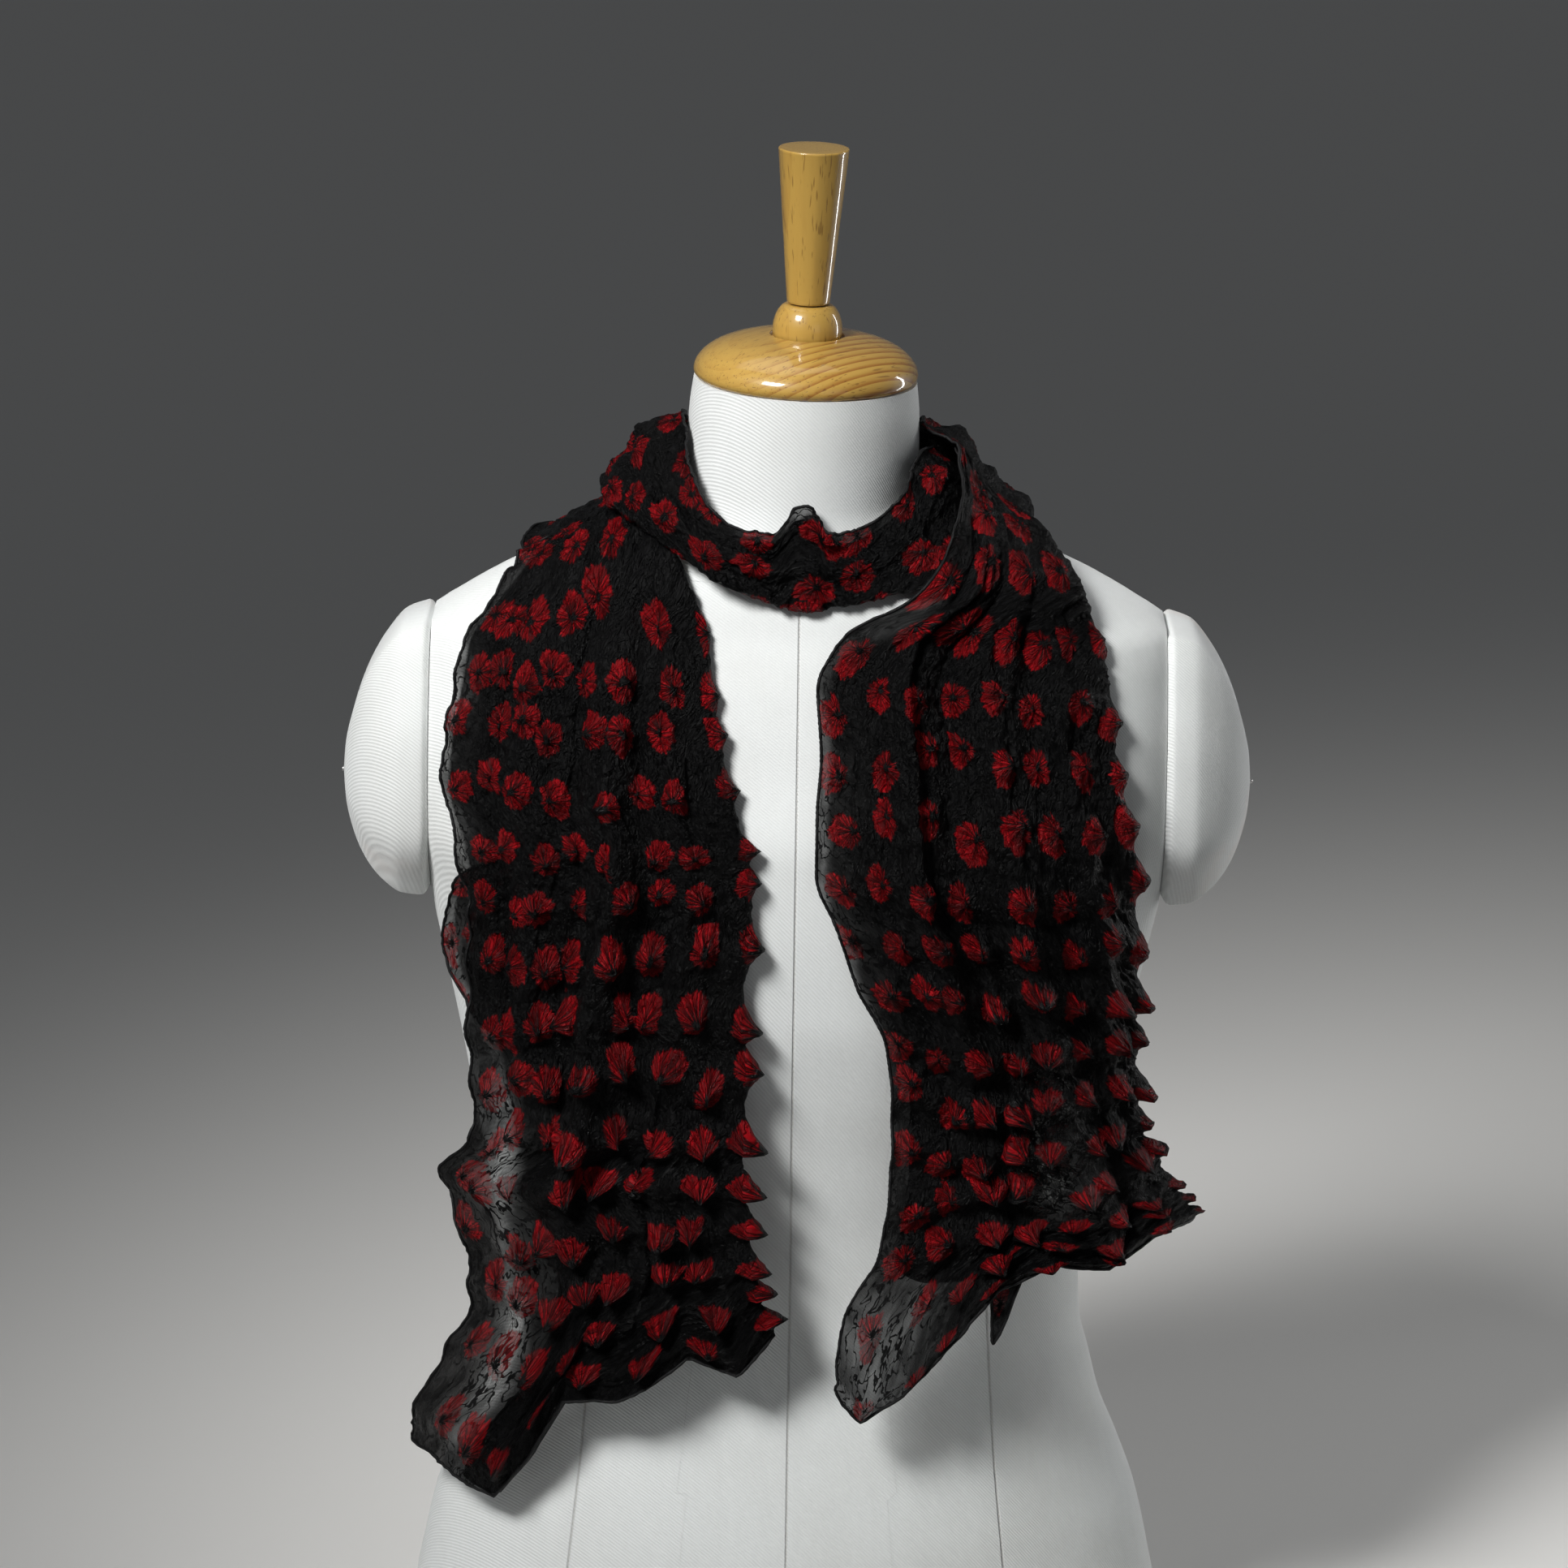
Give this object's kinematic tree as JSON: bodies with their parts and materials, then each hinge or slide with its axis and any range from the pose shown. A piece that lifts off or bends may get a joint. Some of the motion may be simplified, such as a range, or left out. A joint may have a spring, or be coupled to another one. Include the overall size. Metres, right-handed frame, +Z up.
{
  "type": "dupatta stole on limbless dress form",
  "caption": "Crinkled tie-dyed stole wound around the neck of a limbless dress form, both ends hanging down in front.",
  "frame": {"origin": "middle of the form's flat base, under the middle of the whole object's box", "axes": "+Z up the form's neck; the chest faces -Y; +X is to the right of someone facing it"},
  "size_m": [0.4576, 0.2571, 0.7953],
  "materials": {
    "canvas": "off-white cotton twill, matt",
    "wood": "golden brown, clear varnish",
    "silk": "near-black crinkled silk with crimson tied rings, soft sheen"
  },
  "bodies": {
    "root": {"form_torso": "canvas", "form_arm_pad_left": "canvas", "form_arm_pad_right": "canvas", "form_neck_cap": "wood", "form_bead": "wood", "form_handle": "wood", "stole_left_tail": "silk", "stole_under_pass": "silk", "stole_front_band": "silk", "stole_over_pass": "silk", "stole_right_tail": "silk"}
  },
  "joints": []
}
